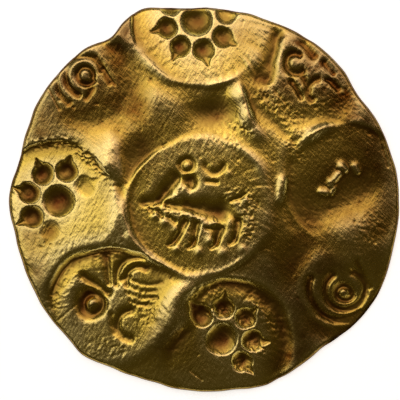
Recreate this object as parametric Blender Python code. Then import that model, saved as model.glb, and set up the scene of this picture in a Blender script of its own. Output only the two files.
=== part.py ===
# A hand-struck gold coin: one thin flan of gold, marked on its upper side by nine
# punches, a boar in the middle, three lotuses and four scrolls and a worn beast
# around it, and left plain underneath, where it lay on the anvil.
# It lies flat, marked side up, with the boar upright along +Y.

import bpy
import numpy as np

MM = 0.001

# Driving dimensions, in millimetres, with bearings in degrees anticlockwise from +X

FLAN_DIAMETER = 20.04
FLAN_LOBES = (  # bearing, how far the edge stands out, spread
    (0, 0.16, 14), (33, -0.31, 10), (62, -0.08, 16), (108, 0.47, 8), (120, -0.31, 5),
    (165, -0.13, 9), (180, 0.18, 8), (222, 0.13, 22), (232, 0.18, 5), (252, -0.16, 9),
    (288, 0.16, 9), (308, -0.13, 6), (331, 0.34, 15),
)
LAND_THICKNESS = 0.90
THINNEST = 0.22
DOME_DROP = 0.36
EDGE_ROUND = 0.24
EDGE_DROP = 0.18
EDGE_TURN_UP = 0.10
EDGE_WAVER = 0.045
EDGE_WAVER_SIZE = 0.80
HAND_WAVER = 0.06
HAND_WAVER_SIZE = 1.1
RIM_WAVER = 0.014
RIM_WAVER_SIZE = 0.9
LAND_WAVER = 0.03
LAND_WAVER_SIZE = 2.6
LAND_RIPPLE = 0.012
LAND_RIPPLE_SIZE = 1.1

# How the whole flan is bent: place, rise, length, breadth, turn
BENDS = (
    ((7.60, -6.60), -0.16, 4.20, 2.60, 45),
    ((-7.60, 7.20), 0.36, 3.60, 3.00, 45),
    ((7.50, 6.10), 0.20, 3.00, 2.60, -45),
)

# Swollen and sunken metal between the punches: place, rise, length, breadth, turn
SWELLS = (
    ((-2.20, 5.10), 0.08, 1.20, 0.85, -35),
    ((0.62, 4.45), -0.25, 1.30, 0.85, 6),
    ((5.20, 4.10), 0.12, 0.90, 0.60, -40),
    ((3.86, 3.78), -0.08, 1.40, 0.28, -40),
    ((4.70, -3.20), -0.12, 2.60, 1.15, 65),
    ((-3.10, 2.20), -0.06, 1.30, 0.80, -50),
    ((-3.20, -3.60), 0.08, 0.80, 0.50, -40),
    ((-4.45, -2.25), 0.21, 0.90, 0.80, 45),
    ((-8.00, -3.95), 0.12, 1.00, 0.80, 30),
    ((-5.20, 1.62), 0.21, 0.80, 0.72, 0),
)

# Folds in the metal: start, end, rise, and how far it reaches to the left and the
# right of the way from start to end
CREASES = (
    ((4.17, 8.24), (3.65, 6.42), 0.12, 0.15, 0.15),
    ((-4.35, 1.10), (-5.00, 3.40), 0.11, 1.05, 0.40),
    ((-4.95, 8.80), (-5.10, 5.60), 0.28, 1.30, 2.60),
)
# Folds that were pushed up over the rims of the outer punches
LATE_CREASES = (
    ((1.98, 5.35), (2.18, 4.60), 0.22, 0.26, 0.70),
    ((2.35, 4.10), (2.75, 3.50), 0.10, 0.30, 0.50),
    ((4.10, 0.95), (3.93, 0.05), 0.10, 0.22, 0.30),
)

# Each punch's face: where it struck, half its width and height, how far its middle
# lies below the land, how much more than the land it slopes and towards which
# bearing, how far its rim lies below its middle, how wide its wall is, where that
# wall spreads further (bearing, spread, more width outwards, or inwards if less than
# 0), the metal raised or drawn down outside its rim (bearing, spread, rise, reach),
# the lips left standing along the rim itself (bearing, spread, rise, reach), and the
# bays where the rim lies out of its round (bearing, spread, how far out)
BOAR_FACE = {"at": (-0.39, -0.41), "half": (3.70, 3.52), "sunk": 0.0, "slope": 0.008,
             "toward": 150, "crown": -0.03, "wall": 0.22,
             "eased": ((-10, 45, 0.5), (80, 30, 0.35)),
             "collars": ((40, 24, 0.15, 0.50), (144, 34, -0.10, 0.95), (235, 24, -0.04, 0.5)),
             "lips": ((188, 36, 0.10, 0.24), (240, 28, 0.10, 0.22), (305, 20, 0.04, 0.16)),
             "bays": ()}
WEST_FACE = {"at": (-7.62, -0.16), "half": (3.20, 3.25), "sunk": -0.01, "slope": 0.084,
             "toward": 152, "crown": 0.0, "wall": 0.22,
             "eased": ((265, 30, 0.5), (-20, 30, 0.7)),
             "collars": ((75, 50, -0.07, 0.22), (235, 30, -0.06, 0.6)),
             "lips": ((85, 50, 0.05, 0.20),),
             "bays": ((42, 26, -0.24), (250, 30, 0.22))}
NORTH_FACE = {"at": (-0.28, 9.27), "half": (3.50, 3.40), "sunk": 0.04, "slope": 0.035,
              "toward": 100, "crown": 0.02, "wall": 0.24,
              "eased": ((300, 20, 0.5), (345, 30, 0.8)),
              "collars": ((335, 20, -0.03, 0.6), (190, 26, -0.06, 0.5)),
              "lips": ((226, 24, 0.11, 0.24), (292, 16, 0.06, 0.18)),
              "bays": ()}
SOUTH_FACE = {"at": (0.91, -7.30), "half": (3.32, 3.21), "sunk": 0.06, "slope": 0.055,
              "toward": 48, "crown": 0.07, "wall": 0.30,
              "eased": ((150, 40, -1.3), (30, 40, 0.3), (-25, 30, 0.6)),
              "collars": ((153, 38, 0.32, 1.15), (20, 40, -0.05, 0.5)),
              "lips": ((62, 34, 0.06, 0.20),),
              "bays": ((160, 30, -0.60),)}
BEAST_FACE = {"at": (7.28, 0.83), "half": (3.11, 3.16), "sunk": 0.06, "slope": 0.0,
              "toward": 310, "crown": 0.02, "wall": 0.30,
              "eased": ((270, 70, 1.0), (130, 30, 0.3)),
              "collars": ((124, 24, -0.18, 0.32), (190, 20, 0.06, 0.3)),
              "lips": ((119, 14, 0.19, 0.36), (190, 40, 0.05, 0.18)),
              "bays": ()}
KNOT_FACE = {"at": (-5.00, -5.49), "half": (2.95, 2.85), "sunk": 0.04, "slope": 0.042,
             "toward": 120, "crown": 0.0, "wall": 0.20,
             "eased": ((0, 60, 0.8), (270, 40, 0.5)),
             "collars": ((138, 36, -0.37, 0.28),),
             "lips": (),
             "bays": ()}
SHELL_FACE = {"at": (-5.93, 6.22), "half": (2.28, 2.28), "sunk": 0.0, "slope": 0.03,
              "toward": 320, "crown": 0.02, "wall": 0.60,
              "eased": ((-60, 90, 1.4),), "collars": (), "lips": (), "bays": ()}
FROND_FACE = {"at": (5.36, 6.42), "half": (2.38, 2.38), "sunk": 0.03, "slope": 0.055,
              "toward": 315, "crown": 0.02, "wall": 0.60,
              "eased": ((-60, 90, 1.0),), "collars": (), "lips": (), "bays": ()}
COIL_FACE = {"at": (7.33, -4.66), "half": (2.28, 2.49), "sunk": 0.06, "slope": 0.04,
             "toward": 300, "crown": 0.02, "wall": 0.80,
             "eased": ((-60, 120, 0.8),), "collars": (), "lips": (), "bays": ()}

# The lotus: a round heart and eight petals, of which each blow left only some
HEART_RADIUS = 0.86
HEART_DEPTH = 0.31
PETAL_RADIUS = 0.61
PETAL_DEPTH = 0.25
PETAL_RING = 1.60
PETAL_TIP = 2.54
PETAL_COUNT = 8
POINT_BREADTH = 0.58
POINT_DEPTH = 0.20
POINT_RISE = 0.15
WEST_LOTUS = {"at": (-7.58, -0.10), "turn": 29,
              "petals": {0: 0.32, 1: 1.15, 2: 1.15, 3: 1.15, 4: 1.1, 5: 0.26}}
NORTH_LOTUS = {"at": (-0.39, 9.29), "turn": 14,
               "petals": {0: 0.7, 3: 0.8, 4: 1.0, 5: 1.0, 6: 0.9, 7: 0.8}}
SOUTH_LOTUS = {"at": (0.89, -7.22), "turn": -4,
               "petals": {-1: 1.0, 0: 1.1, 1: 1.05, 2: 1.05, 3: 1.1}}

# The boar, facing west, and the signs above its back.  Each limb runs from one
# place to another with a radius at each end and a depth
BOAR_LIMBS = (
    ((-0.85, -0.38), (0.85, -0.66), 0.46, 0.84, 0.23),      # barrel
    ((-1.85, -0.28), (-0.95, -0.46), 0.30, 0.42, 0.13),     # shoulder
    ((-2.98, -0.22), (-2.30, -0.08), 0.28, 0.42, 0.12),     # head and snout
    ((-1.46, 1.04), (-1.92, 0.40), 0.42, 0.46, 0.16),       # mane
    ((-1.92, 0.40), (-2.26, -0.06), 0.46, 0.42, 0.15),
    ((-0.72, 0.92), (-0.66, 0.78), 0.46, 0.44, 0.19),       # hump
    ((1.10, -0.50), (1.70, -1.10), 0.46, 0.34, 0.10),       # haunch
    ((-0.90, -1.25), (-1.55, -2.15), 0.30, 0.20, 0.13),     # near foreleg
    ((-0.36, -1.32), (-0.58, -2.28), 0.33, 0.20, 0.13),     # off foreleg
    ((0.78, -1.58), (0.66, -2.32), 0.46, 0.22, 0.14),       # off hind leg
    ((0.20, -1.52), (0.80, -1.60), 0.18, 0.28, 0.08),       # flank
    ((1.78, -1.15), (1.62, -2.10), 0.32, 0.20, 0.12),       # near hind leg
    ((-1.60, -2.25), (-1.82, -2.36), 0.18, 0.15, 0.08),     # hooves
    ((-0.58, -2.38), (-0.80, -2.48), 0.18, 0.15, 0.08),
    ((0.60, -2.40), (0.40, -2.50), 0.18, 0.15, 0.08),
    ((1.58, -2.20), (1.38, -2.34), 0.18, 0.15, 0.07),
    ((-1.76, -0.98), (-1.44, -1.22), 0.20, 0.22, 0.08),     # tusk
    ((-2.75, -0.50), (-2.60, -0.68), 0.18, 0.20, 0.07),     # jaw
    ((-2.36, -0.62), (-2.18, -0.86), 0.20, 0.20, 0.08),
    ((0.10, 0.92), (0.72, 0.86), 0.16, 0.15, 0.06),         # bar under the crescent
    ((1.45, -0.05), (2.05, 0.18), 0.15, 0.22, 0.07),        # tail
)
SUN_AT = (-0.94, 1.80)
SUN_RADIUS = 0.33
SUN_HALF_GROOVE = 0.22
SUN_DEPTH = 0.09
CRESCENT = ((0.55, 1.86), 200, 335, 0.50, 0.50, 0.24, 0.07)

# The worn beast: a broad hollow, and what is left of the body standing in it
BEAST_HOLLOW = ((6.00, -0.60), (8.30, 0.40), 1.95, 1.80, 0.19)
BEAST_BODY = (
    ((7.18, 1.70), (7.36, 1.56), 0.30, 0.28, 0.13),
    ((7.02, 1.32), (6.80, 1.06), 0.26, 0.26, 0.12),
    ((6.58, 0.92), (6.62, 0.74), 0.24, 0.24, 0.10),
    ((6.74, 0.55), (6.62, 0.34), 0.24, 0.22, 0.09),
    ((6.34, 0.36), (6.10, 0.40), 0.30, 0.24, 0.11),
    ((7.88, 1.74), (8.02, 1.46), 0.28, 0.26, 0.10),
)
BEAST_BULGE = ((7.75, -2.10), 1.25, 0.12)

# The scrolls.  Limbs are as the boar's.  Curls run round a place from one bearing
# to another, from a first radius to a last, with half a groove's breadth and a depth
SHELL_CURLS = (
    ((-6.14, 6.45), -20, 330, 0.38, 0.50, 0.24, 0.11),
    ((-6.14, 6.45), 20, 250, 0.92, 1.10, 0.26, 0.10),
    ((-6.05, 6.35), 130, 235, 1.52, 1.66, 0.24, 0.07),
)
SHELL_LIMBS = (
    ((-5.30, 7.00), (-4.90, 6.05), 0.20, 0.18, 0.05),
    ((-5.80, 5.75), (-6.10, 5.25), 0.26, 0.22, 0.07),
)
FROND_CURLS = (
    ((4.79, 7.04), 70, 300, 0.50, 0.50, 0.30, 0.14),
    ((5.95, 5.60), 90, 230, 0.62, 0.50, 0.24, 0.09),
)
FROND_LIMBS = (
    ((3.75, 8.30), (3.28, 6.30), 0.58, 0.54, 0.18),
    ((5.25, 8.05), (5.70, 7.45), 0.46, 0.34, 0.10),
    ((4.55, 6.10), (5.05, 5.30), 0.24, 0.22, 0.09),
    ((5.05, 6.45), (5.50, 5.70), 0.24, 0.20, 0.09),
    ((6.30, 7.10), (6.75, 6.55), 0.26, 0.24, 0.09),
    ((6.55, 6.20), (7.00, 5.75), 0.26, 0.24, 0.09),
)
COIL_CURLS = (
    ((7.33, -4.90), 0, 350, 0.36, 0.46, 0.28, 0.15),
    ((7.33, -4.76), 130, 425, 0.98, 1.10, 0.27, 0.14),
    ((7.17, -4.66), 165, 305, 1.66, 1.70, 0.27, 0.12),
)
COIL_LIMBS = (
    ((7.95, -3.21), (8.62, -4.66), 0.24, 0.24, 0.07),
)
KNOT_CURLS = (
    ((-5.80, -5.50), 0, 360, 0.52, 0.52, 0.40, 0.22),
    ((-3.34, -4.25), 75, 190, 1.22, 1.22, 0.26, 0.10),
    ((-3.34, -4.25), 60, 200, 0.70, 0.70, 0.24, 0.09),
    ((-3.70, -6.53), 100, 260, 0.78, 0.78, 0.30, 0.12),
    ((-2.90, -2.60), 240, 292, 1.85, 1.85, 0.15, 0.040),
    ((-2.90, -2.60), 236, 280, 2.18, 2.18, 0.15, 0.035),
    ((-2.90, -2.60), 243, 280, 2.50, 2.50, 0.15, 0.035),
    ((-2.90, -2.60), 250, 272, 2.84, 2.84, 0.16, 0.040),
)
KNOT_LIMBS = (
    ((-6.20, -4.05), (-5.00, -4.90), 0.30, 0.36, 0.13),
    ((-5.08, -2.95), (-4.92, -4.40), 0.26, 0.26, 0.12),
    ((-4.30, -4.24), (-3.96, -4.10), 0.28, 0.28, 0.10),
    ((-4.79, -6.01), (-4.58, -6.94), 0.26, 0.24, 0.07),
)
STROKE_LEAN = 0.32
STROKE_WEAR = 0.30
STROKE_WEAR_SIZE = 0.55

# The underside: flat pads where the anvil met each blow, hollow between them
PAD_SHARE = 0.80
PAD_EASE = 0.9
HOLLOW_RISE = 0.05

# How finely the form is worked, and how far the facets are thinned afterwards
TOP_CELLS = 190
BACK_CELLS = 190
KEPT_FACETS = 0.058

GOLD = (0.83, 0.56, 0.13, 1.0)


def ramp(low, high, value):
    t = np.clip((value - low) / (high - low), 0.0, 1.0)
    return t * t * (3.0 - 2.0 * t)


def bowl(share):
    # groove with soft sloping sides: 1 in the middle, 0.13 at share 1
    return np.exp(-2.0 * np.minimum(share, 3.0) ** 2)


def cup(share):
    # round bottomed pit with a crisp lip
    return np.clip(1.0 - share ** 2.0, 0.0, 1.0)


def off_bearing(x, y, at, bearing):
    angle = np.arctan2(y - at[1], x - at[0]) - np.radians(bearing)
    return np.angle(np.exp(1j * angle))


def turned(x, y, at, bearing):
    # how far a place lies along and across a bearing
    way = np.radians(bearing)
    dx = x - at[0]
    dy = y - at[1]
    return dx * np.cos(way) + dy * np.sin(way), dy * np.cos(way) - dx * np.sin(way)


def swell(x, y, at, length, breadth, turn):
    along, across = turned(x, y, at, turn)
    return np.exp(-(along / length) ** 2 - (across / breadth) ** 2)


def crease(x, y, start, end, left, right):
    # 1 along the fold's line, easing off at its ends and to its two sides
    length = np.hypot(end[0] - start[0], end[1] - start[1])
    bearing = np.degrees(np.arctan2(end[1] - start[1], end[0] - start[0]))
    along, across = turned(x, y, start, bearing)
    beyond = np.maximum(np.maximum(-along, along - length), 0.0)
    reach = np.where(across > 0.0, left, right)
    return np.exp(-(across / reach) ** 2 - (beyond / max(left, right)) ** 2)


def leaned(dx, dy):
    # the punches leaned: a cut is broad and gentle on its north west side, and narrow
    # and steep on its south east side
    away = np.hypot(dx, dy)
    return away / (1.0 + STROKE_LEAN * (dy - dx) / (np.sqrt(2.0) * away + 1e-9))


def limb(x, y, start, end, start_radius, end_radius):
    # distance from a tapering limb's middle line, as a share of its radius there
    dx = end[0] - start[0]
    dy = end[1] - start[1]
    t = np.clip(((x - start[0]) * dx + (y - start[1]) * dy) / (dx * dx + dy * dy), 0.0, 1.0)
    away = leaned(x - start[0] - t * dx, y - start[1] - t * dy)
    return away / (start_radius + (end_radius - start_radius) * t)


def curl(x, y, at, start, end, start_radius, end_radius, half_groove):
    # distance from a curl's middle line, as a share of half its groove
    middle = 0.5 * (start + end)
    spread = np.radians(0.5 * (end - start))
    angle = np.clip(off_bearing(x, y, at, middle), -spread, spread)
    radius = start_radius + (end_radius - start_radius) * (angle + spread) / (2.0 * spread)
    way = angle + np.radians(middle)
    away = leaned(x - at[0] - radius * np.cos(way), y - at[1] - radius * np.sin(way))
    return away / half_groove


def waver(x, y, size, seed):
    # smooth unevenness between -1 and 1, with hills about one size apart
    table = np.random.RandomState(seed).uniform(-1.0, 1.0, (64, 64))
    gx = x / size + 31.0
    gy = y / size + 31.0
    column = np.floor(gx).astype(int)
    row = np.floor(gy).astype(int)
    fx = ramp(0.0, 1.0, gx - column)
    fy = ramp(0.0, 1.0, gy - row)
    column = column % 63
    row = row % 63
    low = table[column, row] * (1.0 - fx) + table[column + 1, row] * fx
    high = table[column, row + 1] * (1.0 - fx) + table[column + 1, row + 1] * fx
    return low * (1.0 - fy) + high * fy


def flan_radius(angle):
    radius = np.full_like(angle, 0.5 * FLAN_DIAMETER)
    for bearing, rise, spread in FLAN_LOBES:
        off = np.angle(np.exp(1j * (angle - np.radians(bearing))))
        radius = radius + rise * np.exp(-(off / np.radians(spread)) ** 2)
    x = radius * np.cos(angle)
    y = radius * np.sin(angle)
    return radius + EDGE_WAVER * waver(x, y, EDGE_WAVER_SIZE, 17)


def dome(x, y):
    reach = np.hypot(x, y) / (0.5 * FLAN_DIAMETER)
    z = LAND_THICKNESS - DOME_DROP * reach ** 2
    for at, rise, length, breadth, turn in BENDS:
        z = z + rise * swell(x, y, at, length, breadth, turn)
    return z


def folded(z, x, y, creases):
    for start, end, rise, left, right in creases:
        z = z + rise * crease(x, y, start, end, left, right)
    return z


def land(x, y):
    z = dome(x, y)
    for at, rise, length, breadth, turn in SWELLS:
        z = z + rise * swell(x, y, at, length, breadth, turn)
    z = folded(z, x, y, CREASES)
    z = z + LAND_WAVER * waver(x, y, LAND_WAVER_SIZE, 1)
    return z + LAND_RIPPLE * waver(x, y, LAND_RIPPLE_SIZE, 2)


def press(z, x, y, face):
    # the punch's face replaces the land inside its rim
    half_width, half_height = face["half"]
    size = 0.5 * (half_width + half_height)
    across = (x - face["at"][0]) / half_width
    up = (y - face["at"][1]) / half_height
    share = np.hypot(across, up) * (1.0 + RIM_WAVER * waver(x, y, RIM_WAVER_SIZE, 7))
    for bearing, spread, out in face["bays"]:
        off = off_bearing(x, y, face["at"], bearing) / np.radians(spread)
        share = share / (1.0 + out / size * np.exp(-off ** 2))
    along, _ = turned(x, y, face["at"], face["toward"])
    floor = dome(x, y) - face["sunk"] - face["slope"] * along
    floor = floor - face["crown"] * np.minimum(share, 1.1) ** 3
    outside = np.maximum(share - 1.0, 0.0) * size
    for bearing, spread, rise, reach in face["collars"]:
        off = off_bearing(x, y, face["at"], bearing) / np.radians(spread)
        z = z + rise * np.exp(-off ** 2 - (outside / reach) ** 2)
    band = 0.5 * face["wall"] / size
    inner = 1.0 - band
    outer = 1.0 + band
    for bearing, spread, more in face["eased"]:
        off = off_bearing(x, y, face["at"], bearing) / np.radians(spread)
        inner = inner + min(more, 0.0) / size * np.exp(-off ** 2)
        outer = outer + max(more, 0.0) / size * np.exp(-off ** 2)
    inside = 1.0 - ramp(inner, outer, share)
    z = z + (floor - z) * inside
    for bearing, spread, rise, reach in face["lips"]:
        off = off_bearing(x, y, face["at"], bearing) / np.radians(spread)
        z = z + rise * np.exp(-off ** 2 - ((share - 1.0) * size / reach) ** 2)
    return z


def merge(cut, other):
    # the deeper of two cuts, easing where they meet
    return (cut ** 4 + other ** 4 + 1e-12) ** 0.25


def limbs_cut(x, y, limbs):
    cut = np.zeros_like(x)
    for start, end, start_radius, end_radius, depth in limbs:
        cut = merge(cut, depth * bowl(limb(x, y, start, end, start_radius, end_radius)))
    return cut


def curls_cut(x, y, curls):
    cut = np.zeros_like(x)
    for at, start, end, start_radius, end_radius, half_groove, depth in curls:
        share = curl(x, y, at, start, end, start_radius, end_radius, half_groove)
        cut = merge(cut, depth * bowl(share))
    return cut


def scroll_cut(x, y, curls, limbs):
    # the strokes are worn unevenly, shallower here and deeper there
    worn = 1.0 + STROKE_WEAR * waver(x, y, STROKE_WEAR_SIZE, 5)
    return worn * merge(curls_cut(x, y, curls), limbs_cut(x, y, limbs))


def lotus_cut(x, y, lotus):
    at = lotus["at"]
    cut = HEART_DEPTH * cup(np.hypot(x - at[0], y - at[1]) / HEART_RADIUS)
    for index, strength in lotus["petals"].items():
        along, across = turned(x, y, at, lotus["turn"] + 360.0 / PETAL_COUNT * index)
        out = along - PETAL_RING
        body = cup(np.hypot(out, across) / PETAL_RADIUS)
        beyond = np.clip(out / (PETAL_TIP - PETAL_RING), 0.0, 1.0)
        half = POINT_BREADTH * (1.0 - beyond) + 1e-6
        point = np.where(out > 0.0, cup(np.abs(across) / half), 0.0)
        point = point * (POINT_DEPTH - POINT_RISE * beyond)
        cut = np.maximum(cut, strength * np.maximum(PETAL_DEPTH * body, point))
    return cut


def boar_cut(x, y):
    away = np.abs(np.hypot(x - SUN_AT[0], y - SUN_AT[1]) - SUN_RADIUS)
    sun = SUN_DEPTH * bowl(away / SUN_HALF_GROOVE)
    return merge(scroll_cut(x, y, (CRESCENT,), BOAR_LIMBS), sun)


def beast_cut(x, y):
    start, end, start_radius, end_radius, depth = BEAST_HOLLOW
    cut = depth * bowl(limb(x, y, start, end, start_radius, end_radius))
    at, reach, rise = BEAST_BULGE
    bulge = rise * np.exp(-(np.hypot(x - at[0], y - at[1]) / reach) ** 2)
    return cut - limbs_cut(x, y, BEAST_BODY) - bulge


def obverse(x, y):
    # the outer punches came first, and the boar's last of all
    wavered_x = x + HAND_WAVER * waver(x, y, HAND_WAVER_SIZE, 11)
    wavered_y = y + HAND_WAVER * waver(x, y, HAND_WAVER_SIZE, 13)
    x = wavered_x
    y = wavered_y
    z = land(x, y)
    z = press(z, x, y, SHELL_FACE) - scroll_cut(x, y, SHELL_CURLS, SHELL_LIMBS)
    z = press(z, x, y, FROND_FACE) - scroll_cut(x, y, FROND_CURLS, FROND_LIMBS)
    z = press(z, x, y, COIL_FACE) - scroll_cut(x, y, COIL_CURLS, COIL_LIMBS)
    z = press(z, x, y, BEAST_FACE) - beast_cut(x, y)
    z = press(z, x, y, WEST_FACE) - lotus_cut(x, y, WEST_LOTUS)
    z = press(z, x, y, KNOT_FACE) - scroll_cut(x, y, KNOT_CURLS, KNOT_LIMBS)
    z = press(z, x, y, SOUTH_FACE) - lotus_cut(x, y, SOUTH_LOTUS)
    z = press(z, x, y, NORTH_FACE) - lotus_cut(x, y, NORTH_LOTUS)
    z = folded(z, x, y, LATE_CREASES)
    return press(z, x, y, BOAR_FACE) - boar_cut(x, y)


def reverse(x, y):
    # 0 on the pads, and a shallow hollow between them
    faces = (BOAR_FACE, WEST_FACE, NORTH_FACE, SOUTH_FACE, BEAST_FACE, KNOT_FACE, SHELL_FACE,
             FROND_FACE, COIL_FACE)
    clear = np.full_like(x, FLAN_DIAMETER)
    for face in faces:
        half_width, half_height = face["half"]
        share = np.hypot((x - face["at"][0]) / half_width, (y - face["at"][1]) / half_height)
        clear = np.minimum(clear, (share - PAD_SHARE) * 0.5 * (half_width + half_height))
    return HOLLOW_RISE * ramp(0.0, PAD_EASE, clear)


def disc_grid(cells):
    # a square grid drawn out to a disc: each vertex's share of the radius, and bearing
    line = np.linspace(-1.0, 1.0, cells + 1)
    a, b = np.meshgrid(line, line, indexing="ij")
    wide = np.abs(a) >= np.abs(b)
    big = np.where(wide, a, b)
    small = np.where(wide, b, a)
    eighth = np.divide(small, big, out=np.zeros_like(big), where=big != 0.0) * np.pi / 4.0
    angle = np.where(wide, eighth, np.pi / 2.0 - eighth)
    angle = np.where(big < 0.0, angle + np.pi, angle)
    return np.abs(big), angle


def rim_indices(cells):
    # the grid's outer vertices, in order around the coin
    last = cells
    loop = [(last, j) for j in range(last)]
    loop += [(last - i, last) for i in range(last)]
    loop += [(0, last - j) for j in range(last)]
    loop += [(i, 0) for i in range(last)]
    return [i * (cells + 1) + j for i, j in loop]


def edge_fall(reach, edge_radius):
    # 0 in from the edge, 1 at it, along a quarter round
    near = np.clip(1.0 - (1.0 - reach) * edge_radius / EDGE_ROUND, 0.0, 1.0)
    return 1.0 - np.sqrt(1.0 - near ** 2)


def coin_sheet(cells, upper):
    reach, angle = disc_grid(cells)
    edge_radius = flan_radius(angle)
    x = reach * edge_radius * np.cos(angle)
    y = reach * edge_radius * np.sin(angle)
    fall = edge_fall(reach, edge_radius)
    if upper:
        z = obverse(x, y) - EDGE_DROP * fall
        z = np.maximum(z, reverse(x, y) + THINNEST)
    else:
        z = reverse(x, y) + EDGE_TURN_UP * fall
    return np.column_stack([x.ravel(), y.ravel(), z.ravel()])


def quads(cells, offset, flip):
    faces = []
    for i in range(cells):
        for j in range(cells):
            a = offset + i * (cells + 1) + j
            b = a + cells + 1
            face = (a, b, b + 1, a + 1)
            faces.append(face[::-1] if flip else face)
    return faces


def coin_mesh():
    top = coin_sheet(TOP_CELLS, True)
    back = coin_sheet(BACK_CELLS, False)
    points = np.vstack([top, back])
    points[:, 0] -= 0.5 * (points[:, 0].min() + points[:, 0].max())
    points[:, 1] -= 0.5 * (points[:, 1].min() + points[:, 1].max())
    offset = len(top)
    faces = quads(TOP_CELLS, 0, False) + quads(BACK_CELLS, offset, True)
    rim = rim_indices(TOP_CELLS)
    for here, there in zip(rim, rim[1:] + rim[:1]):
        faces.append((here, offset + here, offset + there, there))
    mesh = bpy.data.meshes.new("coin")
    mesh.from_pydata((points * MM).tolist(), [], faces)
    mesh.update()
    return mesh


def gold_material():
    material = bpy.data.materials.new("worn gold")
    material.use_nodes = True
    shader = material.node_tree.nodes["Principled BSDF"]
    shader.inputs["Base Color"].default_value = GOLD
    shader.inputs["Metallic"].default_value = 1.0
    shader.inputs["Roughness"].default_value = 0.34
    return material


def build():
    for thing in list(bpy.data.objects):
        bpy.data.objects.remove(thing)
    mesh = coin_mesh()
    mesh.materials.append(gold_material())
    mesh.shade_smooth()
    coin = bpy.data.objects.new("coin", mesh)
    bpy.context.scene.collection.objects.link(coin)
    thinning = coin.modifiers.new("facets", "DECIMATE")
    thinning.ratio = KEPT_FACETS


build()
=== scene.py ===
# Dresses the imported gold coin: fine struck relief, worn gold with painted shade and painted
# highlights, a pale floor and soft light
import math

import bpy
import numpy as np
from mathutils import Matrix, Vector


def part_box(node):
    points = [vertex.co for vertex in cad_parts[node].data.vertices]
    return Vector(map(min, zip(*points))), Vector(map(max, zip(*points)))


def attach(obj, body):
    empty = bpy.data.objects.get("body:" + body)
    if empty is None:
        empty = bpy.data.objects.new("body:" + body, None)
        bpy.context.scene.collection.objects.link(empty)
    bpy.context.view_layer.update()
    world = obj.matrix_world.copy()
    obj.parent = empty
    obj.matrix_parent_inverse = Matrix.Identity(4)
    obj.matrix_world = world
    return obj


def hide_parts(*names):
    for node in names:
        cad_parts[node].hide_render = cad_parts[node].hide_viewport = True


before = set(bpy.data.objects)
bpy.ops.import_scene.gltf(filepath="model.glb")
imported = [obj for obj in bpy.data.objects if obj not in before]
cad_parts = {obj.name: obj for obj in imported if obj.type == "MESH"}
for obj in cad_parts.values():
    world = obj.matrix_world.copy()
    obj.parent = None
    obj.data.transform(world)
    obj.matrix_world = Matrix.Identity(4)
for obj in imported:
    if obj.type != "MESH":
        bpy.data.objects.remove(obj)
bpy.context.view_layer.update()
print("frame loaded")

mm = 0.001

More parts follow.
